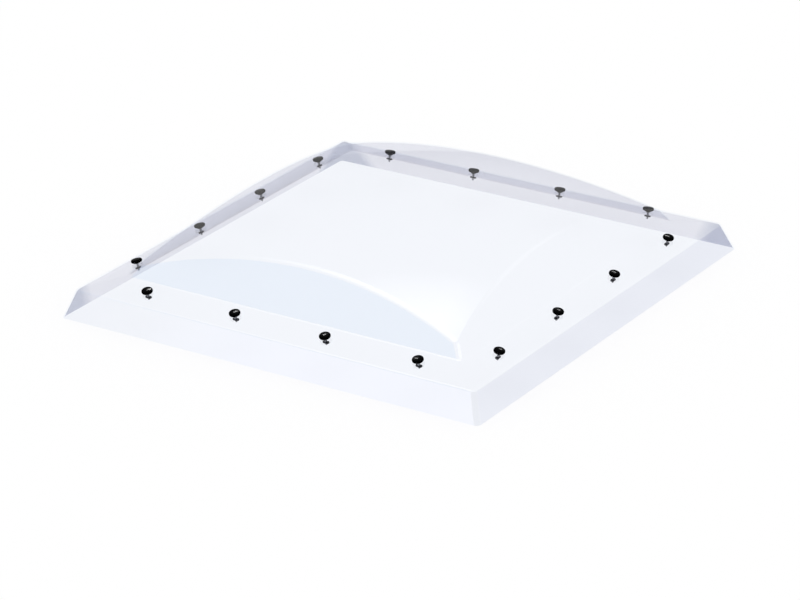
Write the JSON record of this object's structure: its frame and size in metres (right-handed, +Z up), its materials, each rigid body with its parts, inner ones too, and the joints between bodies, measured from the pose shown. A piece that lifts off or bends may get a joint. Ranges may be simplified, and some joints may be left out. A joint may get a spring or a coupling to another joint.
{
  "type": "dome rooflight",
  "caption": "Square fixed rooflight: one clear formed sheet with a vaulted crown, arched sides, sloped flange and splayed skirt, held by capped screws.",
  "frame": {"origin": "centre of the square skirt rim, on the level plane of its lower edge", "axes": "+Z up through the crown, X and Y along the sides; the front side faces -Y"},
  "size_m": [1.11, 1.11, 0.2262],
  "materials": {
    "clear_sheet": "clear thermoformed polycarbonate, glossy both sides",
    "cap_plastic": "black moulded plastic, glossy",
    "base_plastic": "black moulded plastic, satin",
    "washer_rubber": "black rubber, matt",
    "screw_steel": "stainless steel, plain",
    "clip_plastic": "black moulded plastic, satin"
  },
  "bodies": {
    "root": {"dome_sheet": "clear_sheet", "sealing_washers_front": "washer_rubber", "cap_bases_front": "base_plastic", "caps_front": "cap_plastic", "screws_front": "screw_steel", "retaining_clips_front": "clip_plastic", "sealing_washers_right": "washer_rubber", "cap_bases_right": "base_plastic", "caps_right": "cap_plastic", "screws_right": "screw_steel", "retaining_clips_right": "clip_plastic", "sealing_washers_back": "washer_rubber", "cap_bases_back": "base_plastic", "caps_back": "cap_plastic", "screws_back": "screw_steel", "retaining_clips_back": "clip_plastic", "sealing_washers_left": "washer_rubber", "cap_bases_left": "base_plastic", "caps_left": "cap_plastic", "screws_left": "screw_steel", "retaining_clips_left": "clip_plastic"}
  },
  "joints": []
}
